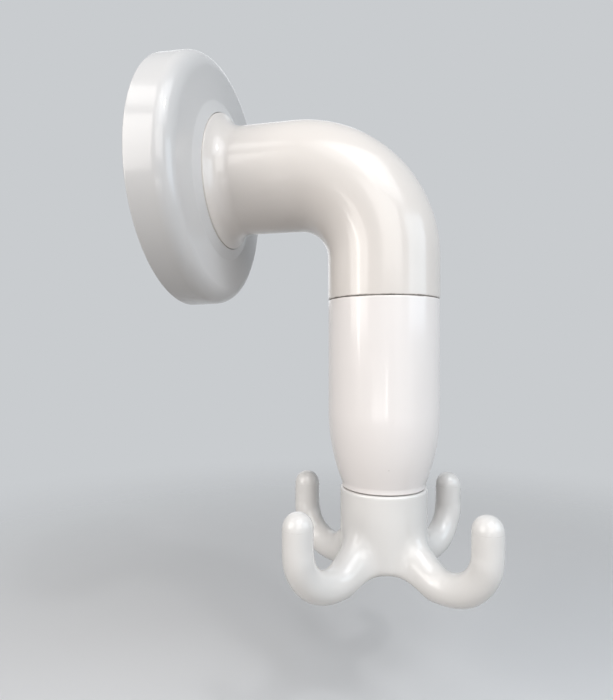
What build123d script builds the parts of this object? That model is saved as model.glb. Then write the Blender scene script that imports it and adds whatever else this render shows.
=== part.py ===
from build123d import *
import os
from math import cos, hypot, radians, sin, tan

# A wall hook shaped like a bent pipe, with a four-prong claw that swivels under it.
# Millimetres. The wall is the plane y = 0, the hook stands out towards -Y, and +Z is up.
# The origin is on the wall, on the axis of the horizontal pipe.

os.makedirs("parts", exist_ok=True)

# The pipe
pipe_radius = 16.95
pipe_wall = 2.5
reach = 65.5
bend_radius = 26.9
elbow_drop = 39.3
elbow_edge_radius = 0.4

# The wall disc and what closes it at the back
disc_radius = 39.65
disc_draft = 0.25
disc_depth = 13.7
rim_radius = 5.1
disc_wall = 2.5
face_thickness = 2.8
collar_radius = 24.8
collar_rise = 1.3
rib_count = 12
rib_thickness = 1.6
rib_turn = 15.0
ring_rib_radius = 19.5
plate_thickness = 2.4
plate_clearance = 0.2
pad_thickness = 1.2
pad_margin = 1.0
pad_proud = 0.5

# The flare at the root of the elbow, and what holds it on the disc
flare_radius = 21.3
flare_lip = 0.4
flare_length = 6.3
flare_clearance = 0.1
elbow_screw_count = 4
elbow_screw_circle = 11.3
elbow_screw_turn = 45.0
elbow_boss_radius = 3.3
elbow_boss_length = 13.0
peg_radius = 1.4
peg_length = 2.5
peg_circle = 18.0
peg_clearance = 0.15

# The self-tapping screws
screw_radius = 1.35
screw_clearance = 0.25
thread_clearance = 0.05
pilot_spare = 0.8
elbow_head_radius = 2.8
elbow_head_height = 2.1
elbow_screw_length = 14.0
plate_screw_count = 3
plate_screw_inset = 10.65
plate_screw_turn = 90.0
plate_boss_radius = 3.4
plate_head_radius = 3.0
plate_head_height = 1.1
plate_head_clearance = 0.2
plate_screw_length = 7.5
drive_width = 0.9
drive_span_share = 1.15
tip_chamfer_share = 0.4
head_round_share = 0.45

# The lower tube
tube_step = 0.1
seam_gap = 0.4
tube_edge_radius = 0.6
lap_depth = 6.0
lap_share = 0.5
lap_clearance = 0.1
tube_straight = 33.8
taper_length = 21.4
neck_radius = 12.7
neck_height = 1.3
end_wall = 4.4
end_boss_height = 1.6
end_boss_wall = 3.6

# The swivel
stem_radius = 6.0
swivel_clearance = 0.08
bearing_washer_clearance = 0.3
bearing_washer_radius = 9.4
bearing_washer_thickness = 0.8
retaining_washer_clearance = 0.2
retaining_washer_radius = 9.0
retaining_washer_thickness = 1.2
running_gap = 0.1
swivel_screw_radius = 2.4
swivel_screw_length = 18.0
swivel_head_radius = 4.6
swivel_head_height = 2.8

# The claw
claw_gap = 0.35
hub_radius = 13.2
hub_edge_radius = 0.6
core_inner_radius = 8.4
core_outer_radius = 10.7
core_depth = 9.0
prong_count = 4
prong_turn = 55.4
prong_radius = 4.27
prong_low_radius = 4.65
prong_root_radius = 5.45
prong_circle = 34.9
prong_bend = 12.55
prong_upright = 6.3
bend_drop = 11.55
root_slope = 39.0
root_blend_share = 0.37
root_wall_share = 1.037
ceiling_share = 0.676
arch_spread = 0.4
arch_edge_radius = 2.2
under_clearance = 0.15
prong_stations = 9
root_start_share = 0.4
arch_trim_share = 0.7
root_pick_gap = 0.02
arch_pick_gap = 0.05
arch_pick_rise = 0.3
cut_spare = 1.0

# Depths from the wall, along -Y
plate_back = pad_thickness
plate_front = plate_back + plate_thickness
plate_seat = plate_back + plate_head_height
face_back = disc_depth - face_thickness
seam_depth = disc_depth + collar_rise
flare_end = seam_depth + flare_lip + flare_length

# Heights on the vertical axis of the tube
tube_top = -elbow_drop - seam_gap
lap_top = -elbow_drop + lap_depth
taper_top = tube_top - tube_straight
taper_bottom = taper_top - taper_length
neck_bottom = taper_bottom - neck_height
end_wall_top = neck_bottom + end_wall
end_boss_top = end_wall_top + end_boss_height
bearing_top = end_boss_top + bearing_washer_thickness
stem_top = bearing_top + running_gap
washer_top = stem_top + retaining_washer_thickness
hub_top = neck_bottom - claw_gap
bend_height = hub_top - bend_drop

# Radii that follow from the others
plate_radius = disc_radius - disc_wall - plate_clearance
plate_screw_circle = disc_radius - plate_screw_inset
tube_radius = pipe_radius - tube_step
bore_radius = pipe_radius - pipe_wall
tube_bore_radius = tube_radius - pipe_wall
lap_radius = bore_radius + pipe_wall * lap_share
swivel_bore_radius = stem_radius + swivel_clearance
pilot_radius = screw_radius + thread_clearance
screw_hole_radius = screw_radius + screw_clearance
bend_circle = prong_circle - prong_bend
root_wall = hub_radius - prong_root_radius
root_blend = min(root_blend_share * (prong_circle - hub_radius), root_wall_share * root_wall)

# The underside of the prongs runs up to a flat ceiling in the hub, which is the top of the arches
under_radius = prong_bend + prong_low_radius + under_clearance
under_start = bend_circle - under_radius * sin(radians(root_slope))
under_height = bend_height - under_radius * cos(radians(root_slope))
ceiling_radius = ceiling_share * hub_radius
hub_bottom = under_height + (under_start - ceiling_radius) * tan(radians(root_slope))
arch_radius = hub_radius + arch_spread

drop_origin = (0, -reach, 0)
drop_axis = Axis(drop_origin, (0, 0, 1))
# Sketch x is the radius and sketch y the height, in the plane through the tube's axis
drop_section = Plane(origin=drop_origin, x_dir=(1, 0, 0), z_dir=(0, -1, 0))
# Sketch x is the radius and sketch y the depth from the wall
wall_axis = Axis((0, 0, 0), (0, -1, 0))
wall_section = Plane(origin=(0, 0, 0), x_dir=(1, 0, 0), z_dir=(0, 0, -1))

# Sketch x is the depth from the wall and sketch y the height, in the plane through the pipe
pipe_section = Plane(origin=(0, 0, 0), x_dir=(0, -1, 0), z_dir=(-1, 0, 0))


def depth_plane(depth):
    """The plane at this depth from the wall, facing the room, with sketch y up."""
    return Plane(origin=(0, -depth, 0), x_dir=(1, 0, 0), z_dir=(0, -1, 0))


def pan_screw(seat, radius, length, head_radius, head_height):
    """A screw whose head sits behind the seat plane and whose shank follows the plane's normal."""
    along = Axis(seat.origin, seat.z_dir)
    with BuildPart(seat) as screw:
        Cylinder(radius, length, align=(Align.CENTER, Align.CENTER, Align.MIN))
        chamfer(screw.faces().sort_by(along)[-1].edges(), radius * tip_chamfer_share)
        Cylinder(head_radius, head_height, align=(Align.CENTER, Align.CENTER, Align.MAX))
        fillet(screw.faces().sort_by(along)[0].edges(), head_height * head_round_share)
        with Locations((0, 0, -head_height)):
            Box(drive_width, head_radius * drive_span_share, head_height, mode=Mode.SUBTRACT)
            Box(head_radius * drive_span_share, drive_width, head_height, mode=Mode.SUBTRACT)
    return screw.part


# Foam pad that sticks the plate to the wall
with BuildPart() as adhesive_pad:
    with BuildSketch(depth_plane(0)):
        Circle(plate_radius - pad_margin)
    extrude(amount=pad_thickness)
adhesive_pad.part.label = "adhesive_pad"
export_step(adhesive_pad.part, "parts/adhesive_pad.step")

# Plate that closes the disc, with a flat-bottomed seat for each of its screws
with BuildPart() as back_plate:
    with BuildSketch(depth_plane(plate_back)):
        Circle(plate_radius)
    extrude(amount=plate_thickness)
    with BuildSketch(depth_plane(plate_back)):
        with PolarLocations(plate_screw_circle, plate_screw_count, start_angle=plate_screw_turn):
            Circle(screw_hole_radius)
    extrude(amount=plate_thickness, mode=Mode.SUBTRACT)
    with BuildSketch(depth_plane(plate_back)):
        with PolarLocations(plate_screw_circle, plate_screw_count, start_angle=plate_screw_turn):
            Circle(plate_head_radius + plate_head_clearance)
    extrude(amount=plate_head_height, mode=Mode.SUBTRACT)
back_plate.part.label = "back_plate"
export_step(back_plate.part, "parts/back_plate.step")

plate_screw_places = PolarLocations(plate_screw_circle, plate_screw_count, start_angle=plate_screw_turn)
for number, place in enumerate(plate_screw_places, start=1):
    seat = Plane(depth_plane(plate_seat).location * Location(place.position))
    with BuildPart() as plate_screw:
        add(pan_screw(seat, screw_radius, plate_screw_length, plate_head_radius, plate_head_height))
    plate_screw.part.label = f"plate_screw_{number}"
    export_step(plate_screw.part, f"parts/plate_screw_{number}.step")

# Hollow disc: shell, collar around the foot of the elbow, ribs, bosses and locating pegs
with BuildPart() as wall_disc:
    with BuildSketch(wall_section) as shell:
        with BuildLine():
            Polyline(
                (0, face_back),
                (disc_radius - disc_wall, face_back),
                (disc_radius - disc_wall, pad_proud),
                (disc_radius, pad_proud),
                (disc_radius - disc_draft, disc_depth),
                (collar_radius, disc_depth),
                (flare_radius + flare_clearance, seam_depth),
                (flare_radius + flare_clearance, disc_depth),
                (0, disc_depth),
                close=True,
            )
        make_face()
        rim = shell.vertices().sort_by_distance((disc_radius - disc_draft, disc_depth, 0))[0]
        fillet(rim, rim_radius)
        corner = shell.vertices().sort_by_distance((disc_radius - disc_wall, face_back, 0))[0]
        fillet(corner, rim_radius - disc_wall)
    revolve(axis=wall_axis)
    with BuildSketch(depth_plane(plate_front)):
        with PolarLocations((ring_rib_radius + disc_radius - disc_wall) / 2, rib_count, start_angle=rib_turn):
            Rectangle(disc_radius - disc_wall - ring_rib_radius + rib_thickness, rib_thickness)
        with PolarLocations(plate_screw_circle, plate_screw_count, start_angle=plate_screw_turn):
            Circle(plate_boss_radius)
        Circle(ring_rib_radius + rib_thickness / 2)
        Circle(ring_rib_radius - rib_thickness / 2, mode=Mode.SUBTRACT)
    extrude(amount=face_back - plate_front)
    with BuildSketch(depth_plane(plate_front)):
        with PolarLocations(plate_screw_circle, plate_screw_count, start_angle=plate_screw_turn):
            Circle(pilot_radius)
    extrude(amount=plate_seat + plate_screw_length + pilot_spare - plate_front, mode=Mode.SUBTRACT)
    with BuildSketch(depth_plane(face_back)):
        with PolarLocations(elbow_screw_circle, elbow_screw_count, start_angle=elbow_screw_turn):
            Circle(screw_hole_radius)
    extrude(amount=face_thickness, mode=Mode.SUBTRACT)
    with BuildSketch(depth_plane(disc_depth)):
        with PolarLocations(peg_circle, 2):
            Circle(peg_radius)
    extrude(amount=peg_length)
wall_disc.part.label = "wall_disc"
export_step(wall_disc.part, "parts/wall_disc.step")

# Bent pipe with a flared foot, four screw bosses inside it and a rebate for the lower tube
with BuildPart() as elbow_pipe:
    with BuildLine(pipe_section) as run:
        Line((disc_depth, 0), (reach - bend_radius, 0))
        JernArc((reach - bend_radius, 0), (1, 0), bend_radius, -90)
        Line((reach, -bend_radius), (reach, -elbow_drop))
    with BuildSketch(depth_plane(disc_depth)):
        Circle(pipe_radius)
    sweep(path=run.wire())
    with BuildSketch(wall_section):
        with BuildLine():
            sweep_out = TangentArc(
                (pipe_radius, flare_end),
                (flare_radius, seam_depth + flare_lip),
                tangent=(0, -1),
            )
            Polyline(
                sweep_out @ 1,
                (flare_radius, disc_depth),
                (0, disc_depth),
                (0, flare_end),
                sweep_out @ 0,
            )
        make_face()
    revolve(axis=wall_axis)
    with BuildSketch(depth_plane(disc_depth)):
        Circle(bore_radius)
    sweep(path=run.wire(), mode=Mode.SUBTRACT)
    web_length = bore_radius + pipe_wall / 2 - elbow_screw_circle
    with BuildSketch(depth_plane(disc_depth)):
        with PolarLocations(elbow_screw_circle, elbow_screw_count, start_angle=elbow_screw_turn):
            Circle(elbow_boss_radius)
            Rectangle(web_length, elbow_boss_radius, align=(Align.MIN, Align.CENTER))
    extrude(amount=elbow_boss_length)
    with BuildSketch(depth_plane(disc_depth)):
        with PolarLocations(elbow_screw_circle, elbow_screw_count, start_angle=elbow_screw_turn):
            Circle(pilot_radius)
    extrude(amount=elbow_screw_length - face_thickness + pilot_spare, mode=Mode.SUBTRACT)
    with BuildSketch(depth_plane(disc_depth)):
        with PolarLocations(peg_circle, 2):
            Circle(peg_radius + peg_clearance)
    extrude(amount=peg_length + peg_clearance, mode=Mode.SUBTRACT)
    with BuildSketch(Plane.XY.offset(-elbow_drop)):
        with Locations((0, -reach)):
            Circle(lap_radius)
    extrude(amount=lap_depth, mode=Mode.SUBTRACT)
    elbow_end = elbow_pipe.edges().filter_by(GeomType.CIRCLE).sort_by(Axis.Z)
    fillet([e for e in elbow_end[:4] if abs(e.radius - pipe_radius) < seam_gap / 2], elbow_edge_radius)
elbow_pipe.part.label = "elbow_pipe"
export_step(elbow_pipe.part, "parts/elbow_pipe.step")

elbow_screw_places = PolarLocations(elbow_screw_circle, elbow_screw_count, start_angle=elbow_screw_turn)
for number, place in enumerate(elbow_screw_places, start=1):
    seat = Plane(depth_plane(face_back).location * Location(place.position))
    with BuildPart() as elbow_screw:
        add(pan_screw(seat, screw_radius, elbow_screw_length, elbow_head_radius, elbow_head_height))
    elbow_screw.part.label = f"elbow_screw_{number}"
    export_step(elbow_screw.part, f"parts/elbow_screw_{number}.step")

# Lower tube: a lip that fits into the elbow, a curved taper, and an end wall the swivel turns in
taper_radius = ((tube_radius - neck_radius) ** 2 + taper_length ** 2) / (2 * (tube_radius - neck_radius))
taper_centre = tube_radius - taper_radius
wall_fall = taper_top - end_wall_top
inside_at_end = taper_centre + ((taper_radius - pipe_wall) ** 2 - wall_fall ** 2) ** 0.5
with BuildPart() as lower_tube:
    with BuildSketch(drop_section) as tube_section:
        with BuildLine():
            outside = TangentArc((tube_radius, taper_top), (neck_radius, taper_bottom), tangent=(0, -1))
            inside = TangentArc((tube_bore_radius, taper_top), (inside_at_end, end_wall_top), tangent=(0, -1))
            Polyline(
                outside @ 1,
                (neck_radius, neck_bottom),
                (swivel_bore_radius, neck_bottom),
                (swivel_bore_radius, end_boss_top),
                (swivel_bore_radius + end_boss_wall, end_boss_top),
                (swivel_bore_radius + end_boss_wall, end_wall_top),
                inside @ 1,
            )
            Polyline(
                inside @ 0,
                (tube_bore_radius, lap_top),
                (lap_radius - lap_clearance, lap_top),
                (lap_radius - lap_clearance, tube_top),
                (tube_radius, tube_top),
                outside @ 0,
            )
        make_face()
        shoulder = tube_section.vertices().sort_by_distance((tube_radius, tube_top, 0))[0]
        fillet(shoulder, tube_edge_radius)
    revolve(axis=drop_axis)
lower_tube.part.label = "lower_tube"
export_step(lower_tube.part, "parts/lower_tube.step")

# Nylon ring on the tube's inner boss
with BuildPart() as bearing_washer:
    with BuildSketch(Plane.XY.offset(end_boss_top)):
        with Locations((0, -reach)):
            Circle(bearing_washer_radius)
            Circle(stem_radius + bearing_washer_clearance, mode=Mode.SUBTRACT)
    extrude(amount=bearing_washer_thickness)
bearing_washer.part.label = "bearing_washer"
export_step(bearing_washer.part, "parts/bearing_washer.step")

# Steel washer that holds the claw's stem up on the nylon ring
with BuildPart() as retaining_washer:
    with BuildSketch(Plane.XY.offset(stem_top)):
        with Locations((0, -reach)):
            Circle(retaining_washer_radius)
            Circle(swivel_screw_radius + retaining_washer_clearance, mode=Mode.SUBTRACT)
    extrude(amount=retaining_washer_thickness)
retaining_washer.part.label = "retaining_washer"
export_step(retaining_washer.part, "parts/retaining_washer.step")

swivel_seat = Plane(origin=(0, -reach, washer_top), x_dir=(1, 0, 0), z_dir=(0, 0, -1))
with BuildPart() as swivel_screw:
    add(
        pan_screw(
            swivel_seat, swivel_screw_radius, swivel_screw_length, swivel_head_radius, swivel_head_height
        )
    )
swivel_screw.part.label = "swivel_screw"
export_step(swivel_screw.part, "parts/swivel_screw.step")

# One prong in the plane of +X from the claw's own axis: sloping root, bend, upright and round tip
with BuildPart() as prong:
    with BuildLine(Plane.XZ) as prong_line:
        bend = CenterArc((bend_circle, bend_height), prong_bend, -90 - root_slope, 90 + root_slope)
        root_start = hub_radius * root_start_share
        root_rise = ((bend @ 0).X - root_start) * tan(radians(root_slope))
        root = Line((root_start, (bend @ 0).Z + root_rise), (bend @ 0))
    prong_path = prong_line.wire()
    root_share = root.length / prong_path.length
    low_share = root_share + bend.length * root_slope / (90 + root_slope) / prong_path.length
    for station in range(prong_stations):
        along = station / (prong_stations - 1)
        if along < root_share:
            section_radius = prong_root_radius
        elif along < low_share:
            passed = (along - root_share) / (low_share - root_share)
            section_radius = prong_root_radius + (prong_low_radius - prong_root_radius) * passed
        else:
            passed = (along - low_share) / (1 - low_share)
            section_radius = prong_low_radius + (prong_radius - prong_low_radius) * passed
        with BuildSketch(Plane(origin=prong_path @ along, x_dir=(0, 1, 0), z_dir=prong_path % along)):
            Circle(section_radius)
    loft()
    with BuildSketch(Plane.XY.offset(bend_height)):
        with Locations((prong_circle, 0)):
            Circle(prong_radius)
    extrude(amount=prong_upright)
    with Locations((prong_circle, 0, bend_height + prong_upright)):
        Sphere(prong_radius)

# The prong on a long hub, so that its root can be rounded into the hub all the way around
long_hub_bottom = hub_bottom - prong_bend
cut_bottom = long_hub_bottom - cut_spare


def on_hub(edge, gap):
    """Whether the edge lies on the side of the hub, within this gap."""
    points = [edge @ share for share in (0, 0.25, 0.5, 0.75, 1)]
    return all(abs(hypot(point.X, point.Y) - hub_radius) < gap for point in points)


with BuildPart() as long_hub:
    with BuildSketch(Plane.XY.offset(long_hub_bottom)):
        Circle(hub_radius)
    extrude(amount=hub_top - long_hub_bottom)
    add(prong.part)
root_edges = [
    edge
    for edge in long_hub.edges().filter_by(GeomType.BSPLINE)
    if on_hub(edge, root_pick_gap) and (edge @ 0.5).X > 0
]
rooted_prong = long_hub.part.fillet(root_blend, root_edges)

# The claw in its own frame: four prongs, the space under them and an arch between each two
with BuildPart() as prongs:
    with PolarLocations(0, prong_count):
        add(rooted_prong)
    with BuildSketch(Plane.XZ):
        with BuildLine():
            under = CenterArc((bend_circle, bend_height), under_radius, -90 - root_slope, root_slope)
            Polyline(
                under @ 0,
                (ceiling_radius, hub_bottom),
                (0, hub_bottom),
                (0, cut_bottom),
                (bend_circle, cut_bottom),
                under @ 1,
            )
        make_face()
    revolve(axis=Axis.Z, mode=Mode.SUBTRACT)
    arch_end = arch_radius * sin(radians(root_slope))
    arch_foot = hub_bottom - arch_radius * (1 - cos(radians(root_slope)))
    arch_width = prong_circle * sin(radians(180 / prong_count)) - prong_bend * arch_trim_share
    side_foot = arch_foot - (arch_width - arch_end) * tan(radians(root_slope))
    for turn in (180 / prong_count, 540 / prong_count):
        across = (sin(radians(turn)), -cos(radians(turn)), 0)
        inwards = (-cos(radians(turn)), -sin(radians(turn)), 0)
        with BuildSketch(Plane(origin=(0, 0, 0), x_dir=across, z_dir=inwards)):
            with BuildLine():
                ThreePointArc((-arch_end, arch_foot), (0, hub_bottom), (arch_end, arch_foot))
                Polyline(
                    (arch_end, arch_foot),
                    (arch_width, side_foot),
                    (arch_width, cut_bottom),
                    (-arch_width, cut_bottom),
                    (-arch_width, side_foot),
                    (-arch_end, arch_foot),
                )
            make_face()
        extrude(amount=prong_circle, both=True, mode=Mode.SUBTRACT)
arch_edges = [
    edge
    for edge in prongs.edges()
    if on_hub(edge, arch_pick_gap)
    and max((edge @ 0).Z, (edge @ 0.5).Z, (edge @ 1).Z) < hub_bottom + arch_pick_rise
]
arched_prongs = prongs.part.fillet(arch_edge_radius, arch_edges)

# The claw turned to its place under the tube, with the stem and the core of the hub
with BuildPart() as claw_head:
    with Locations(Location(drop_origin, (0, 0, prong_turn))):
        add(arched_prongs)
    with BuildSketch(drop_section):
        with BuildLine():
            edge_arc = CenterArc(
                (hub_radius - hub_edge_radius, hub_top - hub_edge_radius), hub_edge_radius, 0, 90
            )
            Polyline(
                edge_arc @ 0,
                (hub_radius + hub_edge_radius, hub_top - hub_edge_radius),
                (hub_radius + hub_edge_radius, hub_top + hub_edge_radius),
                (hub_radius - hub_edge_radius, hub_top + hub_edge_radius),
                edge_arc @ 1,
            )
        make_face()
    revolve(axis=drop_axis, mode=Mode.SUBTRACT)
    with BuildSketch(Plane.XY.offset(hub_top)):
        with Locations((0, -reach)):
            Circle(core_outer_radius)
            Circle(core_inner_radius, mode=Mode.SUBTRACT)
    extrude(amount=-core_depth, mode=Mode.SUBTRACT)
    with BuildSketch(Plane.XY.offset(hub_top)):
        with Locations((0, -reach)):
            Circle(stem_radius)
    extrude(amount=stem_top - hub_top)
    with BuildSketch(Plane.XY.offset(stem_top)):
        with Locations((0, -reach)):
            Circle(swivel_screw_radius + thread_clearance)
    extrude(amount=retaining_washer_thickness - swivel_screw_length - pilot_spare, mode=Mode.SUBTRACT)
claw_head.part.label = "claw_head"
export_step(claw_head.part, "parts/claw_head.step")
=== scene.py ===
from math import asin, cos, hypot, pi, radians, sin

import bmesh
import bpy
import numpy as np
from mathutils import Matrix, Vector


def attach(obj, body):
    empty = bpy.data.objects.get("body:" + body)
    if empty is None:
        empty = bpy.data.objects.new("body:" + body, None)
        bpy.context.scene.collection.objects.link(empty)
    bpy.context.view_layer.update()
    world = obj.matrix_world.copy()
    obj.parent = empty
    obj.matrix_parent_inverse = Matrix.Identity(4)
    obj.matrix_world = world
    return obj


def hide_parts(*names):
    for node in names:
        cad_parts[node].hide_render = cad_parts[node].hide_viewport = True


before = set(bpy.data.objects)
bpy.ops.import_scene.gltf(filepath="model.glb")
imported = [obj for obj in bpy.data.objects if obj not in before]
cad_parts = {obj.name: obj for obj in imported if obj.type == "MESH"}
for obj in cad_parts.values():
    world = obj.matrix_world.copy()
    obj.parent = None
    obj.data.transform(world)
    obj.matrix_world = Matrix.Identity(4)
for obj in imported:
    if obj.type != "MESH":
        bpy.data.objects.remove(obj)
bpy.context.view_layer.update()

bl_info = {
    "name": "Prong wall hook",
    "version": (1, 0, 0),
    "blender": (4, 5, 0),
    "location": "View3D > Sidebar > Wall hook",
    "description": "Dresses a moulded wall hook with a swivelling claw around its packed solids",
    "category": "Object",
}

MM = 0.001
ARM = "wall_arm"
CLAW = "claw"
REACH = 65.5      # from the wall to the upright axis of the tube and the claw, in millimetres
FACE = 13.7       # from the wall to the disc's front face, where the elbow's foot stands
HUB_TOP = -96.55  # height of the flat top of the claw's hub, in millimetres
ROUND = 160       # points around a turned or swept piece
PALEST = 0.94     # the largest share of the light that a plastic gives back
# Level marks in millimetres, thin darker bands of painted shade: in the groove between elbow
# and tube, with some dirt, and where the reflection changes at the prong tips' domes. Each gives
# height, half width and strength, then how far from the upright axis it starts
GROOVE_SHADE_LINE = (-39.5, 0.5, 0.8)
TIP_SHADE_LINE = (-101.95, 0.11, 0.35, 29.0)
# The stage, in metres and degrees: where the lamps point, and a camera that looks level
MIDDLE = (0, -0.05, -0.055)
CAMERA_PLACE = (-0.166573, -0.080875, -0.054840)
CAMERA_TURN = -76.604571
LENS, SENSOR, NEAREST = 27.76, 36, 0.005


# ---------------------------------------------------------------- colours and shaders

def linear(code):
    """An sRGB hex colour as linear red, green and blue."""
    parts = [int(code[i:i + 2], 16) / 255 for i in (1, 3, 5)]
    return tuple(c / 12.92 if c <= 0.04045 else ((c + 0.055) / 1.055) ** 2.4 for c in parts)


def per(size):
    """The Scale of a pattern whose features are this many millimetres wide."""
    return 1 / (size * MM)


def node(tree, kind, links=None, values=None, **settings):
    """Adds a shader or geometry node, sets its settings and sockets, and links what feeds it."""
    made = tree.nodes.new(kind)
    for key, value in settings.items():
        if hasattr(made, key):
            setattr(made, key, value)
        else:
            made.inputs[key.replace("_", " ")].default_value = value
    for socket, value in (values or {}).items():
        made.inputs[socket].default_value = value
    for socket, source in (links or {}).items():
        tree.links.new(source, made.inputs[socket])
    return made


def new_material(name):
    """An empty material, with its node tree and its Object coordinates."""
    made = bpy.data.materials.new(name)
    made.use_nodes = True
    made.node_tree.nodes.clear()
    return made, made.node_tree, node(made.node_tree, "ShaderNodeTexCoord").outputs["Object"]


def clouded(tree, share, colour, darker, paler):
    """The colour, moved between a darker and a paler tone of itself by the share."""
    base = Vector(linear(colour))
    low = (*(base * darker), 1)
    high = (*[min(c * paler, PALEST) for c in base], 1)
    return node(tree, "ShaderNodeMix", {0: share}, {6: low, 7: high}, data_type="RGBA").outputs[2]


def mixed_dirt_and_shade(tree, colour, share):
    """Mixes a dusty brown into the colour: real dirt for the specks, and painted shade for the
    thin darker level bands.
    """
    dirt_and_shade_brown = (*linear("#8c8177"), 1)
    mixed = node(tree, "ShaderNodeMix", {0: share, 6: colour}, {7: dirt_and_shade_brown}, data_type="RGBA")
    return mixed.outputs[2]


def from_axis(tree, place):
    """How far each point is from the upright axis of the tube and the claw, in metres."""
    flat = node(tree, "ShaderNodeVectorMath", {0: place}, {1: (1, 1, 0), 2: (0, REACH * MM, 0)},
                operation="MULTIPLY_ADD")
    out = node(tree, "ShaderNodeVectorMath", {0: flat.outputs[0]}, operation="LENGTH")
    return out.outputs["Value"]


def shade_and_dirt_line(tree, place, colour, height, half, strength, away=0.0):
    """Painted shade as a thin darker level line of dusty brown, broken up by noise, where it lies
    at least the given distance from the upright axis: in the groove with some dirt, and where the
    reflection changes at the prong tips. Sizes in millimetres."""
    up = node(tree, "ShaderNodeSeparateXYZ", {0: place}).outputs["Z"]
    gap = node(tree, "ShaderNodeMath", {0: up}, {1: height * MM}, operation="SUBTRACT")
    near = node(tree, "ShaderNodeMath", {0: gap.outputs[0]}, operation="ABSOLUTE")
    line = node(tree, "ShaderNodeMapRange", {"Value": near.outputs[0]},
                interpolation_type="SMOOTHSTEP", From_Max=half * MM, To_Min=strength, To_Max=0.0)
    # Broken into patches about 3 mm long
    broken = node(tree, "ShaderNodeTexNoise", {"Vector": place}, Scale=per(3), Detail=4.0,
                  Roughness=0.7)
    patchy = node(tree, "ShaderNodeMapRange", {"Value": broken.outputs["Fac"]},
                From_Min=0.42, From_Max=0.66)
    far = node(tree, "ShaderNodeMath", {0: from_axis(tree, place)}, {1: away * MM},
               operation="GREATER_THAN")
    part = node(tree, "ShaderNodeMath", {0: line.outputs["Result"], 1: patchy.outputs["Result"]},
                operation="MULTIPLY")
    share = node(tree, "ShaderNodeMath", {0: part.outputs[0], 1: far.outputs[0]},
                 operation="MULTIPLY")
    return mixed_dirt_and_shade(tree, colour, share.outputs[0])


def seen_rays(tree):
    """1 for the rays of the camera, of reflections and of clear pieces, and 0 for the light."""
    ray = node(tree, "ShaderNodeLightPath").outputs
    seen = node(tree, "ShaderNodeMath", {0: ray["Is Camera Ray"], 1: ray["Is Glossy Ray"]},
                operation="MAXIMUM")
    return node(tree, "ShaderNodeMath", {0: seen.outputs[0], 1: ray["Is Transmission Ray"]},
                operation="MAXIMUM").outputs[0]


def moulded_abs(name, colour, shade_lines=()):
    """Glossy injection-moulded ABS: the mould's polish gives sharp highlights, with a faint
    waviness from shrinkage, a barely visible flow tint and some fine handling marks."""
    roughness = 0.22
    made, tree, place = new_material(name)
    # Flow tint: clouds about 14 mm across
    flow = node(tree, "ShaderNodeTexNoise", {"Vector": place}, Scale=per(14), Detail=2.0,
                Roughness=0.5)
    shown = clouded(tree, flow.outputs["Fac"], colour, darker=0.982, paler=1.018)
    # Specks of dirt about 0.4 mm across, one place for them every 7 mm and most of those bare
    apart = 7
    grit = node(tree, "ShaderNodeTexVoronoi", {"Vector": place}, Scale=per(apart))
    speck = node(tree, "ShaderNodeMapRange", {"Value": grit.outputs["Distance"]},
                 interpolation_type="SMOOTHSTEP", From_Min=0.112 / apart, From_Max=0.21 / apart,
                 To_Min=1.0, To_Max=0.0)
    cell = node(tree, "ShaderNodeSeparateColor", {0: grit.outputs["Color"]})
    rare = node(tree, "ShaderNodeMapRange", {"Value": cell.outputs[0]}, From_Min=0.80,
                From_Max=1.0, To_Max=0.7)
    dirt = node(tree, "ShaderNodeMath", {0: speck.outputs["Result"], 1: rare.outputs["Result"]},
                operation="MULTIPLY")
    shown = mixed_dirt_and_shade(tree, shown, dirt.outputs[0])
    # Thin darker level bands of painted shade, with some dirt in the groove
    for line in shade_lines:
        shown = shade_and_dirt_line(tree, place, shown, *line)
    # Handling marks: a film about 5 mm across that dulls the polish a little
    film = node(tree, "ShaderNodeTexNoise", {"Vector": place}, Scale=per(5), Detail=5.0,
                Roughness=0.65)
    polish = node(tree, "ShaderNodeMapRange", {"Value": film.outputs["Fac"]}, From_Min=0.3,
                  From_Max=0.75, To_Min=roughness - 0.035, To_Max=roughness + 0.05)
    # Shrinkage waves about 9 mm long, and a far lower orange peel drawn at 0.6 mm
    swell, peel_rise = 0.2, 0.0024
    waves = node(tree, "ShaderNodeTexNoise", {"Vector": place}, Scale=per(9), Detail=1.0)
    peel = node(tree, "ShaderNodeTexNoise", {"Vector": place}, Scale=per(0.6), Detail=2.0)
    rise = node(tree, "ShaderNodeMath", {0: waves.outputs["Fac"]}, {1: swell},
                operation="MULTIPLY")
    both = node(tree, "ShaderNodeMath", {0: peel.outputs["Fac"], 2: rise.outputs[0]},
                {1: peel_rise}, operation="MULTIPLY_ADD")
    relief = node(tree, "ShaderNodeBump", {"Height": both.outputs[0]}, Strength=0.35,
                  Distance=0.1 * MM)
    # The moulded skin is a little sharper than the body below it
    surface = node(tree, "ShaderNodeBsdfPrincipled", {
        "Base Color": shown,
        "Roughness": polish.outputs["Result"],
        "Normal": relief.outputs["Normal"],
    }, IOR=1.5, Coat_Weight=0.4, Coat_Roughness=0.09, Coat_IOR=1.5)
    node(tree, "ShaderNodeOutputMaterial", {"Surface": surface.outputs[0]})
    return made


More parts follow.
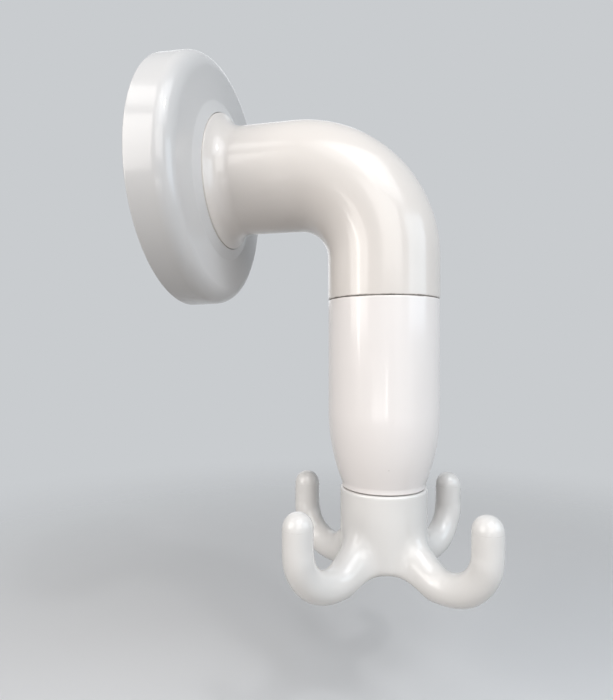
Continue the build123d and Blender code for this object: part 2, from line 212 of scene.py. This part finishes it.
def dull_surface(name, colour, roughness, grain, depth, metallic=0.0):
    """A plain dull surface, with a grain of the given width and depth in millimetres."""
    made, tree, place = new_material(name)
    speck = node(tree, "ShaderNodeTexNoise", {"Vector": place}, Scale=per(grain), Detail=3.0,
                 Roughness=0.6)
    shown = clouded(tree, speck.outputs["Fac"], colour, darker=0.92, paler=1.06)
    polish = node(tree, "ShaderNodeMapRange", {"Value": speck.outputs["Fac"]},
                  To_Min=roughness - 0.08, To_Max=roughness + 0.08)
    relief = node(tree, "ShaderNodeBump", {"Height": speck.outputs["Fac"]}, Strength=0.5,
                  Distance=depth * MM)
    surface = node(tree, "ShaderNodeBsdfPrincipled", {
        "Base Color": shown,
        "Roughness": polish.outputs["Result"],
        "Normal": relief.outputs["Normal"],
    }, Metallic=metallic)
    node(tree, "ShaderNodeOutputMaterial", {"Surface": surface.outputs[0]})
    return made


# ---------------------------------------------------------------- shapes

def arc(centre, radius, first, last, steps=10):
    """Points of an arc in a profile, in degrees, both ends included."""
    angles = np.radians(np.linspace(first, last, steps + 1))
    return [(centre[0] + radius * cos(a), centre[1] + radius * sin(a)) for a in angles]


def filled(points, step):
    """A closed profile with its long sides divided, and a support point near each corner."""
    out = []
    for (ax, ay), (bx, by) in zip(points, points[1:] + points[:1]):
        length = hypot(bx - ax, by - ay)
        shares = [0.0]
        if length > 2 * step:
            support = 0.25 * step / length
            shares += [support, *np.linspace(0, 1, int(length / step) + 1)[1:-1], 1 - support]
        out += [(ax + (bx - ax) * t, ay + (by - ay) * t) for t in sorted(shares)]
    return out


def woven(name, rings):
    """A closed shell through rings of points; the last ring joins the first."""
    rings = np.asarray(rings) * MM
    count, around = rings.shape[:2]
    index = np.arange(count * around).reshape(count, around)
    after = np.roll(index, -1, 0)
    faces = np.stack([index, np.roll(index, -1, 1), np.roll(after, -1, 1), after], -1)
    mesh = bpy.data.meshes.new(name)
    mesh.from_pydata(rings.reshape(-1, 3).tolist(), [], faces.reshape(-1, 4).tolist())
    shell = bmesh.new()
    shell.from_mesh(mesh)
    bmesh.ops.remove_doubles(shell, verts=shell.verts, dist=0.0001 * MM)
    bmesh.ops.recalc_face_normals(shell, faces=shell.faces)
    shell.to_mesh(mesh)
    shell.free()
    return placed(name, mesh)


def placed(name, mesh, sharp=34):
    """A smooth-shaded object of the mesh, with edges over the given angle kept crisp."""
    mesh.polygons.foreach_set("use_smooth", [True] * len(mesh.polygons))
    mesh.set_sharp_from_angle(angle=radians(sharp))
    piece = bpy.data.objects.new(name, mesh)
    bpy.context.scene.collection.objects.link(piece)
    return piece


def turned(name, profile, spot):
    """A profile of (radius, along) points turned about an axis; spot gives the point for
    a radius, a place along the axis and the cosine and sine of the angle around it."""
    angles = np.linspace(0, 2 * pi, ROUND, endpoint=False)
    return woven(name, [[spot(r, along, cos(a), sin(a)) for a in angles] for r, along in profile])


def finished(piece, material, slot, body, *nodes):
    """Gives a piece its finish and its body, and hides the solids that it stands for."""
    piece.data.materials.clear()
    piece.data.materials.append(material)
    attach(piece, body)
    if nodes:
        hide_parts(*nodes)


def baked(piece):
    """Turns a piece's modifiers into a plain mesh."""
    graph = bpy.context.evaluated_depsgraph_get()
    mesh = bpy.data.meshes.new_from_object(piece.evaluated_get(graph), depsgraph=graph)
    piece.modifiers.clear()
    old = piece.data
    piece.data = mesh
    bpy.data.meshes.remove(old)


# ---------------------------------------------------------------- properties

class HookSizes(bpy.types.PropertyGroup):
    """Sizes of the pieces that are made here"""
    pipe_radius: bpy.props.FloatProperty(
        name="Pipe radius", description="Outer radius of the elbow",
        default=16.95 * MM, unit="LENGTH", precision=5)
    pipe_wall: bpy.props.FloatProperty(
        name="Pipe wall", description="Wall of the elbow and the tube",
        default=2.5 * MM, unit="LENGTH", precision=5)
    reach: bpy.props.FloatProperty(
        name="Reach", description="From the wall to the axis of the tube",
        default=REACH * MM, unit="LENGTH", precision=5)
    bend_radius: bpy.props.FloatProperty(
        name="Bend radius", description="Centre-line radius of the elbow",
        default=26.9 * MM, unit="LENGTH", precision=5)
    disc_radius: bpy.props.FloatProperty(
        name="Disc radius", description="Radius of the wall disc at its back",
        default=39.65 * MM, unit="LENGTH", precision=5)
    rim_radius: bpy.props.FloatProperty(
        name="Rim rounding", description="Rounding of the disc's front rim",
        default=5.1 * MM, unit="LENGTH", precision=5)
    rib_count: bpy.props.IntProperty(
        name="Ribs", description="Radial ribs inside the disc",
        default=12, min=3, max=48)
    claw_grain: bpy.props.FloatProperty(
        name="Claw grain", description="Size of the quads that the claw is remade with",
        default=0.38 * MM, unit="LENGTH", precision=5)


class HookFinish(bpy.types.PropertyGroup):
    """Colours of the mouldings and of the stage"""
    disc_colour: bpy.props.StringProperty(
        name="Disc colour", description="sRGB hex colour of the disc's plastic",
        default="#dcdbdb")
    elbow_colour: bpy.props.StringProperty(
        name="Elbow colour", description="sRGB hex colour of the elbow's plastic",
        default="#e7e1dc")
    tube_colour: bpy.props.StringProperty(
        name="Tube colour", description="sRGB hex colour of the tube's plastic",
        default="#f6f1ef")
    claw_colour: bpy.props.StringProperty(
        name="Claw colour", description="sRGB hex colour of the claw's plastic",
        default="#e6e4e2")
    stage_colour: bpy.props.StringProperty(
        name="Stage colour", description="sRGB hex colour of the background",
        default="#c9cccf")
    board_colour: bpy.props.StringProperty(
        name="Board colour", description="sRGB hex colour of the floor where it is seen",
        default="#e7e8ea")
    bounce_colour: bpy.props.StringProperty(
        name="Bounce colour", description="sRGB hex colour of the floor for the light it returns",
        default="#b5b2af")


class HookLight(bpy.types.PropertyGroup):
    """Powers of the lamps, and the floor's height"""
    ambient: bpy.props.FloatProperty(
        name="Ambient", description="Strength of the even light of the room",
        default=0.06, min=0)
    top_softbox: bpy.props.FloatProperty(
        name="Top softbox", description="Power of the large lamp above",
        default=2.15, min=0, unit="POWER")
    top_window: bpy.props.FloatProperty(
        name="Top window", description="Power of the small bright lamp in the large one",
        default=0.5, min=0, unit="POWER")
    over_camera: bpy.props.FloatProperty(
        name="Lamp over the camera", description="Power of the lamp high over the camera",
        default=0.28, min=0, unit="POWER")
    front_softbox: bpy.props.FloatProperty(
        name="Front softbox", description="Power of the lamp beside the camera",
        default=1.76, min=0, unit="POWER")
    left_softbox: bpy.props.FloatProperty(
        name="Left softbox", description="Power of the large lamp on the wall's side",
        default=2.45, min=0, unit="POWER")
    left_strip: bpy.props.FloatProperty(
        name="Left strip", description="Power of the narrow lamp on the wall's side",
        default=0.15, min=0, unit="POWER")
    high_window: bpy.props.FloatProperty(
        name="High window", description="Power of the wide lamp high over the disc",
        default=0.36, min=0, unit="POWER")
    right_window: bpy.props.FloatProperty(
        name="Right window", description="Power of the cool lamp on the room's side",
        default=0.28, min=0, unit="POWER")
    right_strip: bpy.props.FloatProperty(
        name="Right strip", description="Power of the thin upright lamp on the room's side",
        default=0.02, min=0, unit="POWER")
    near_softbox: bpy.props.FloatProperty(
        name="Near softbox", description="Power of the small lamp close to the tube",
        default=0.04, min=0, unit="POWER")
    low_front: bpy.props.FloatProperty(
        name="Low front lamp", description="Power of the wide low lamp on the camera's side",
        default=0.13, min=0, unit="POWER")
    low_patch: bpy.props.FloatProperty(
        name="Low patch", description="Power of the narrow lamp under the camera",
        default=0.018, min=0, unit="POWER")
    back_softbox: bpy.props.FloatProperty(
        name="Back softbox", description="Power of the large lamp behind the hook",
        default=0.65, min=0, unit="POWER")
    floor_height: bpy.props.FloatProperty(
        name="Floor", description="Height of the floor, under the hook's origin",
        default=-0.17, unit="LENGTH")


# ---------------------------------------------------------------- operators
# Lengths are in millimetres: depths from the wall, heights from the disc's centre, and the
# elbow's places along its centre line from its foot.

class HOOK_OT_wall_disc(bpy.types.Operator):
    """Makes the disc that stands on the wall, with its cone ring and inner ribs"""
    bl_idname = "hook.wall_disc"
    bl_label = "Wall disc"

    def execute(self, context):
        size = context.scene.hook_sizes
        radius = size.disc_radius / MM
        rim = size.rim_radius / MM
        wall, face_back, back, edge = 2.5, 10.9, 0.5, 0.5
        cone_foot, cone_lip, recess, seam = 25.0, 21.6, 21.4, 15.0
        front_radius = radius - 0.25
        inner = radius - wall
        hollow_rim = rim - wall
        profile = [(0, face_back), (inner - hollow_rim, face_back)]
        profile += arc((inner - hollow_rim, face_back - hollow_rim), hollow_rim, 90, 0)[1:]
        profile += [(inner, back)]
        profile += arc((radius - edge, back + edge), edge, -90, 0, steps=5)
        profile += arc((front_radius - rim, FACE - rim), rim, 0, 90, steps=20)
        # The fold at the foot of the cone ring and its lip are slightly soft
        profile += [(cone_foot + 0.3, FACE), (cone_foot, FACE + 0.03)]
        profile += [(cone_foot - 0.3, FACE + 0.09)]
        profile += [(cone_lip + 0.15, seam - 0.1), (cone_lip, seam - 0.06)]
        profile += [(cone_lip - 0.15, seam - 0.12), (recess, seam - 0.3)]
        profile += [(recess, FACE), (0, FACE)]
        disc = turned("disc_shell", filled(profile, 1.6),
                      lambda r, along, c, s: (r * c, -along, r * s))
        self.add_ribs(disc, size.rib_count, inner, face_back)
        plastic = moulded_abs("disc_abs", context.scene.hook_finish.disc_colour)
        finished(disc, plastic, "disc", ARM, "wall_disc")
        return {"FINISHED"}

    @staticmethod
    def add_ribs(disc, count, inner, face_back):
        """Geometry Nodes: copies of one rib around the axis, joined to the shell. Each runs into
        the rim and into the back of the face."""
        thickness = 1.6
        near_axis, at_rim = 18.75, inner + 0.75
        open_end, in_face = 3.6, face_back + 0.2
        sizes = {
            "Count": ("NodeSocketInt", count),
            "Middle radius": ("NodeSocketFloat", (at_rim + near_axis) / 2 * MM),
            "Length": ("NodeSocketFloat", (at_rim - near_axis) * MM),
            "Thickness": ("NodeSocketFloat", thickness * MM),
            "Depth": ("NodeSocketFloat", (in_face - open_end) * MM),
            "Middle depth": ("NodeSocketFloat", (in_face + open_end) / 2 * MM),
        }
        tree = bpy.data.node_groups.new("disc_ribs", "GeometryNodeTree")
        face = tree.interface
        face.new_socket("Geometry", in_out="INPUT", socket_type="NodeSocketGeometry")
        made = {name: face.new_socket(name, in_out="INPUT", socket_type=kind)
                for name, (kind, _) in sizes.items()}
        face.new_socket("Material", in_out="INPUT", socket_type="NodeSocketMaterial")
        face.new_socket("Geometry", in_out="OUTPUT", socket_type="NodeSocketGeometry")
        given = node(tree, "NodeGroupInput").outputs
        rib_size = node(tree, "ShaderNodeCombineXYZ", {
            "X": given["Length"], "Y": given["Depth"], "Z": given["Thickness"]})
        rib = node(tree, "GeometryNodeMeshCube", {"Size": rib_size.outputs[0]})
        # Each rib's angle: half a share further than its number
        share = node(tree, "ShaderNodeMath", {1: given["Count"]}, {0: 2 * pi}, operation="DIVIDE")
        number = node(tree, "GeometryNodeInputIndex")
        half = node(tree, "ShaderNodeMath", {0: number.outputs[0]}, {1: 0.5}, operation="ADD")
        angle = node(tree, "ShaderNodeMath", {0: share.outputs[0], 1: half.outputs[0]},
                     operation="MULTIPLY").outputs[0]
        across = node(tree, "ShaderNodeMath", {0: angle}, operation="COSINE")
        up = node(tree, "ShaderNodeMath", {0: angle}, operation="SINE")
        x = node(tree, "ShaderNodeMath", {0: across.outputs[0], 1: given["Middle radius"]},
                 operation="MULTIPLY")
        z = node(tree, "ShaderNodeMath", {0: up.outputs[0], 1: given["Middle radius"]},
                 operation="MULTIPLY")
        y = node(tree, "ShaderNodeMath", {0: given["Middle depth"]}, {1: -1},
                 operation="MULTIPLY")
        spot = node(tree, "ShaderNodeCombineXYZ", {
            "X": x.outputs[0], "Y": y.outputs[0], "Z": z.outputs[0]})
        points = node(tree, "GeometryNodePoints", {
            "Count": given["Count"], "Position": spot.outputs[0]})
        tilt = node(tree, "ShaderNodeMath", {0: angle}, {1: -1}, operation="MULTIPLY")
        lean = node(tree, "ShaderNodeCombineXYZ", {"Y": tilt.outputs[0]})
        ribs = node(tree, "GeometryNodeInstanceOnPoints", {
            "Points": points.outputs[0], "Instance": rib.outputs["Mesh"],
            "Rotation": lean.outputs[0]})
        real = node(tree, "GeometryNodeRealizeInstances", {"Geometry": ribs.outputs[0]})
        both = node(tree, "GeometryNodeJoinGeometry", {"Geometry": real.outputs[0]})
        tree.links.new(given["Geometry"], both.inputs["Geometry"])
        finish = node(tree, "GeometryNodeSetMaterial", {
            "Geometry": both.outputs[0], "Material": given["Material"]})
        node(tree, "NodeGroupOutput", {"Geometry": finish.outputs[0]})
        modifier = disc.modifiers.new("ribs", "NODES")
        modifier.node_group = tree
        for name, (_, value) in sizes.items():
            modifier[made[name].identifier] = value
        baked(disc)


class HOOK_OT_elbow(bpy.types.Operator):
    """Makes the bent pipe with its flared foot"""
    bl_idname = "hook.elbow"
    bl_label = "Elbow"

    def execute(self, context):
        size = context.scene.hook_sizes
        outer, reach, bend = size.pipe_radius / MM, size.reach / MM, size.bend_radius / MM
        bore = outer - size.pipe_wall / MM
        flare, flare_from, flare_to = 21.3, 15.4, 21.7
        drop, lap, lap_depth = 39.44, 15.7, 6.0
        soft, lip, chamfer = 0.3, 0.25, 0.05
        first = reach - bend - FACE
        middle = bend * pi / 2
        end = first + middle + drop - bend

        def ring(radius, s):
            """The circle of this radius around the pipe's centre line, s from its foot."""
            if s < first:
                centre, out = (0, -FACE - s, 0), (0, 0, 1)
            elif s < first + middle:
                a = (s - first) / bend
                centre = (0, bend - reach - bend * sin(a), bend * (cos(a) - 1))
                out = (0, -sin(a), cos(a))
            else:
                centre, out = (0, -reach, -bend - (s - first - middle)), (0, -1, 0)
            angles = np.linspace(0, 2 * pi, ROUND, endpoint=False)
            return [(centre[0] + radius * cos(a), centre[1] + radius * sin(a) * out[1],
                     centre[2] + radius * sin(a) * out[2]) for a in angles]

        # The flare is an arc that ends along the pipe
        rise, length = flare - outer, flare_to - flare_from
        hollow = (rise ** 2 + length ** 2) / (2 * rise)
        spread = np.degrees(asin(length / hollow))
        lip_from = flare_from - FACE - lip
        profile = [(bore, 0), (flare - chamfer, 0), (flare, chamfer), (flare, lip_from)]
        profile += arc((flare - lip, lip_from), lip, 0, 70, steps=4)[1:]
        sweep = arc((outer + hollow, flare_to - FACE), hollow, 180 + spread, 180, steps=18)
        profile += [point for point in sweep if point[0] < flare - 0.7 * lip]
        profile += arc((outer - soft, end - soft), soft, 0, 90, steps=6)
        profile += [(lap, end), (lap, end - lap_depth), (bore, end - lap_depth)]
        elbow = woven("elbow_shell", [ring(r, s) for r, s in filled(profile, 1.0)])
        # The finish paints shade, with some dirt, as a thin darker band along the groove at the
        # tube
        plastic = moulded_abs("elbow_abs", context.scene.hook_finish.elbow_colour, [GROOVE_SHADE_LINE])
        finished(elbow, plastic, "pipe", ARM, "elbow_pipe")
        return {"FINISHED"}


class HOOK_OT_tube(bpy.types.Operator):
    """Makes the lower tube with its curved taper and the end wall that carries the claw"""
    bl_idname = "hook.tube"
    bl_label = "Lower tube"

    def execute(self, context):
        size = context.scene.hook_sizes
        reach, wall = size.reach / MM, size.pipe_wall / MM
        radius, neck, lap, soft, lip = 16.85, 12.7, 15.6, 0.45, 0.25
        lap_top, top, taper_top, taper_end, bottom = -33.3, -39.6, -73.5, -94.9, -96.2
        wall_top, boss_top, hole, boss = -91.8, -90.2, 6.08, 9.68
        # The taper is an arc that starts along the tube
        narrowing, length = radius - neck, taper_top - taper_end
        curve = (narrowing ** 2 + length ** 2) / (2 * narrowing)
        centre = radius - curve
        outer_end = -np.degrees(asin(length / curve))
        inner_end = -np.degrees(asin((taper_top - wall_top) / (curve - wall)))
        profile = [(lap, lap_top), (lap, top)]
        profile += arc((radius - soft, top - soft), soft, 90, 0, steps=6)
        profile += arc((centre, taper_top), curve, 0, outer_end, steps=40)
        profile += [(neck, bottom + lip), (neck - lip, bottom)]
        profile += [(hole, bottom), (hole, boss_top), (boss, boss_top), (boss, wall_top)]
        profile += arc((centre, taper_top), curve - wall, inner_end, 0, steps=24)
        profile += [(radius - wall, lap_top)]
        tube = turned("tube_shell", filled(profile, 1.2),
                      lambda r, along, c, s: (r * c, r * s - reach, along))
        # The finish paints shade, with some dirt, as a thin darker band along the groove at the
        # elbow
        plastic = moulded_abs("tube_abs", context.scene.hook_finish.tube_colour, [GROOVE_SHADE_LINE])
        finished(tube, plastic, "pipe", ARM, "lower_tube")
        return {"FINISHED"}


class HOOK_OT_claw(bpy.types.Operator):
    """Makes the claw: hub, prongs and the smooth blends between them, as one moulding"""
    bl_idname = "hook.claw"
    bl_label = "Claw"

    def execute(self, context):
        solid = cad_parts["claw_head"]
        mesh = solid.data.copy()
        merged = bmesh.new()
        merged.from_mesh(mesh)
        bmesh.ops.remove_doubles(merged, verts=merged.verts, dist=0.002 * MM)
        merged.to_mesh(mesh)
        merged.free()
        claw = placed("claw_body", mesh)
        remake = claw.modifiers.new("remake", "REMESH")
        remake.mode = "VOXEL"
        remake.voxel_size = context.scene.hook_sizes.claw_grain
        baked(claw)
        self.relax(claw)
        claw.data.polygons.foreach_set("use_smooth", [True] * len(claw.data.polygons))
        # The finish paints a thin darker band of shade where the reflection changes at the prong
        # tips' domes
        plastic = moulded_abs("claw_abs", context.scene.hook_finish.claw_colour, [TIP_SHADE_LINE])
        finished(claw, plastic, "claw", CLAW, "claw_head")
        return {"FINISHED"}

    @staticmethod
    def relax(claw):
        """Takes the grain of the remake out of the outer surfaces, and keeps the crisp top of
        the hub: the smoothing sets in below it and is full after the fade, in millimetres."""
        crisp, fade = 1.6, 2.0
        mesh = claw.data
        places = np.empty(len(mesh.vertices) * 3)
        mesh.vertices.foreach_get("co", places)
        heights = places.reshape(-1, 3)[:, 2] / MM
        group = claw.vertex_groups.new(name="relaxed")
        loose = np.round(np.clip((HUB_TOP - crisp - heights) / fade, 0, 1), 1)
        for level in np.unique(loose):
            if level > 0:
                group.add(np.nonzero(loose == level)[0].tolist(), float(level), "REPLACE")
        smooth = claw.modifiers.new("relax", "SMOOTH")
        smooth.vertex_group = group.name
        smooth.factor = 0.5
        smooth.iterations = 24
        baked(claw)
        even = claw.modifiers.new("even", "SMOOTH")
        even.factor = 0.4
        even.iterations = 2
        baked(claw)


class HOOK_OT_hardware(bpy.types.Operator):
    """Finishes the screws, washers, plate and pad that the solids already give"""
    bl_idname = "hook.hardware"
    bl_label = "Hardware"

    def execute(self, context):
        # Zinc plating on steel: bluish grey, half dull, with fine blotches
        zinc = dull_surface("zinc_plated_steel", "#b9bbbe", roughness=0.36, grain=0.9,
                            depth=0.01, metallic=1.0)
        kinds = {
            # Foam cut from a sheet: no gloss, and a grain of small cells
            "adhesive_pad": dull_surface("closed_cell_foam", "#d9d9d4", roughness=0.85,
                                         grain=0.7, depth=0.12),
            # Polypropylene from an etched mould: an even, soft sheen
            "back_plate": dull_surface("etched_polypropylene", "#e2e2df", roughness=0.55,
                                       grain=0.8, depth=0.03),
            # Natural nylon, moulded: milky, warm and a little waxy
            "bearing_washer": dull_surface("milky_nylon", "#efe9da", roughness=0.42,
                                           grain=2.5, depth=0.01),
        }
        for name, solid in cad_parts.items():
            if name in kinds or "screw" in name or name == "retaining_washer":
                solid.data.materials.clear()
                solid.data.materials.append(kinds.get(name, zinc))
        return {"FINISHED"}


class HOOK_OT_stage(bpy.types.Operator):
    """Sets the floor, the background, the lamps and the camera"""
    bl_idname = "hook.stage"
    bl_label = "Stage"

    def execute(self, context):
        scene = context.scene
        light = scene.hook_light
        self.floor(light.floor_height, scene.hook_finish)
        self.room(scene, light.ambient, scene.hook_finish.stage_colour)
        # Each lamp: direction and rise from the middle of the hook, in degrees, then distance,
        # width and height in metres, power and tint
        lamps = {
            "top_softbox": (222, 54, 0.8, 0.56, 0.50, light.top_softbox, (0.95, 0.975, 1.0)),
            "top_window": (225, 51, 0.8, 0.07, 0.06, light.top_window, (1.0, 1.0, 1.0)),
            "over_camera": (190, 50, 0.6, 0.25, 0.25, light.over_camera, (1.0, 1.0, 1.0)),
            "front_softbox": (203, 22, 0.9, 0.6, 0.4, light.front_softbox, (1.0, 0.98, 0.955)),
            "left_softbox": (136, 22, 0.7, 0.5, 0.5, light.left_softbox, (1.0, 0.965, 0.93)),
            "left_strip": (136, 7, 0.6, 0.045, 0.15, light.left_strip, (1.0, 0.99, 0.97)),
            "high_window": (129, 54, 0.7, 0.35, 0.15, light.high_window, (1.0, 0.98, 0.96)),
            "right_window": (256, 18, 0.32, 0.22, 0.17, light.right_window, (0.76, 0.89, 1.0)),
            "right_strip": (244, -2, 0.6, 0.02, 0.28, light.right_strip, (0.95, 0.98, 1.0)),
            "near_softbox": (226, -1, 0.27, 0.16, 0.16, light.near_softbox, (1.0, 0.985, 0.98)),
            "low_front": (178, -8, 0.6, 0.3, 0.05, light.low_front, (1.0, 0.98, 0.96)),
            "low_patch": (194, -7, 0.35, 0.014, 0.05, light.low_patch, (1.0, 1.0, 1.0)),
            "back_softbox": (25, 24, 0.9, 0.6, 0.6, light.back_softbox, (0.96, 0.98, 1.0)),
        }
        for name, values in lamps.items():
            self.lamp(name, *values)
        camera = bpy.data.objects.new("camera", bpy.data.cameras.new("camera"))
        camera.location = CAMERA_PLACE
        camera.rotation_euler = (pi / 2, 0, radians(CAMERA_TURN))
        camera.data.lens = LENS
        camera.data.sensor_width = SENSOR
        camera.data.clip_start = NEAREST
        scene.collection.objects.link(camera)
        scene.camera = camera
        scene.view_settings.view_transform = "Standard"
        return {"FINISHED"}

    @staticmethod
    def lamp(name, turn, rise, far, width, height, power, tint):
        """A rectangular soft lamp that faces the hook and isn't seen itself."""
        lamp = bpy.data.lights.new(name, "AREA")
        lamp.shape = "RECTANGLE"
        lamp.size, lamp.size_y, lamp.energy, lamp.color = width, height, power, tint
        turn, rise = radians(turn), radians(rise)
        way = Vector((cos(turn) * cos(rise), sin(turn) * cos(rise), sin(rise)))
        shade = bpy.data.objects.new(name, lamp)
        shade.visible_camera = False
        shade.location = Vector(MIDDLE) + way * far
        shade.rotation_euler = way.to_track_quat("Z", "Y").to_euler()
        bpy.context.scene.collection.objects.link(shade)

    @staticmethod
    def floor(height, finish):
        """A large plain floor that fades into the background away from the hook."""
        half, fade_from, fade_to = 6.0, 0.08, 0.42
        mesh = bpy.data.meshes.new("floor")
        corners = [(-half, -half), (half, -half), (half, half), (-half, half)]
        mesh.from_pydata([(x, y, height) for x, y in corners], [], [(0, 1, 2, 3)])
        ground = placed("floor", mesh)
        # Painted board: even and without gloss. It looks pale and throws less light back under
        # the hook
        made, tree, place = new_material("pale_painted_board")
        fade = node(tree, "ShaderNodeMapRange", {"Value": from_axis(tree, place)},
                    interpolation_type="SMOOTHSTEP", From_Min=fade_from, From_Max=fade_to)
        tones = {6: (*linear(finish.bounce_colour), 1), 7: (*linear(finish.board_colour), 1)}
        tone = node(tree, "ShaderNodeMix", {0: seen_rays(tree)}, tones, data_type="RGBA")
        board = node(tree, "ShaderNodeBsdfDiffuse", {"Color": tone.outputs[2]})
        clear = node(tree, "ShaderNodeBsdfTransparent")
        both = node(tree, "ShaderNodeMixShader", {
            0: fade.outputs[0], 1: board.outputs[0], 2: clear.outputs[0]})
        node(tree, "ShaderNodeOutputMaterial", {"Surface": both.outputs[0]})
        mesh.materials.append(made)

    @staticmethod
    def room(scene, ambient, colour):
        """Even light of the room; the camera, reflections and clear pieces see the background."""
        world = bpy.data.worlds.new("room")
        scene.world = world
        world.use_nodes = True
        tree = world.node_tree
        tree.nodes.clear()
        even = node(tree, "ShaderNodeBackground", Color=(0.98, 0.99, 1.0, 1), Strength=ambient)
        shown = node(tree, "ShaderNodeBackground", Color=(*linear(colour), 1), Strength=1.0)
        either = node(tree, "ShaderNodeMixShader", {
            0: seen_rays(tree), 1: even.outputs[0], 2: shown.outputs[0]})
        node(tree, "ShaderNodeOutputWorld", {"Surface": either.outputs[0]})


OPERATORS = (HOOK_OT_wall_disc, HOOK_OT_elbow, HOOK_OT_tube, HOOK_OT_claw, HOOK_OT_hardware,
             HOOK_OT_stage)


class HOOK_PT_panel(bpy.types.Panel):
    """Lists the hook's pieces and their settings"""
    bl_idname = "HOOK_PT_panel"
    bl_label = "Wall hook"
    bl_space_type = "VIEW_3D"
    bl_region_type = "UI"
    bl_category = "Wall hook"

    def draw(self, context):
        scene = context.scene
        for group in (scene.hook_sizes, scene.hook_finish, scene.hook_light):
            for name in group.__annotations__:
                self.layout.prop(group, name)
        for operator in OPERATORS:
            self.layout.operator(operator.bl_idname)


CLASSES = (HookSizes, HookFinish, HookLight, *OPERATORS, HOOK_PT_panel)


def register():
    """Adds the classes, and their settings to the scene."""
    for part in CLASSES:
        bpy.utils.register_class(part)
    bpy.types.Scene.hook_sizes = bpy.props.PointerProperty(type=HookSizes)
    bpy.types.Scene.hook_finish = bpy.props.PointerProperty(type=HookFinish)
    bpy.types.Scene.hook_light = bpy.props.PointerProperty(type=HookLight)


def unregister():
    """Takes the settings and the classes away again."""
    del bpy.types.Scene.hook_light
    del bpy.types.Scene.hook_finish
    del bpy.types.Scene.hook_sizes
    for part in reversed(CLASSES):
        bpy.utils.unregister_class(part)


def main():
    """Makes the stage and every piece."""
    register()
    bpy.ops.hook.stage()
    bpy.ops.hook.wall_disc()
    bpy.ops.hook.elbow()
    bpy.ops.hook.tube()
    bpy.ops.hook.claw()
    bpy.ops.hook.hardware()


if __name__ == "__main__":
    main()
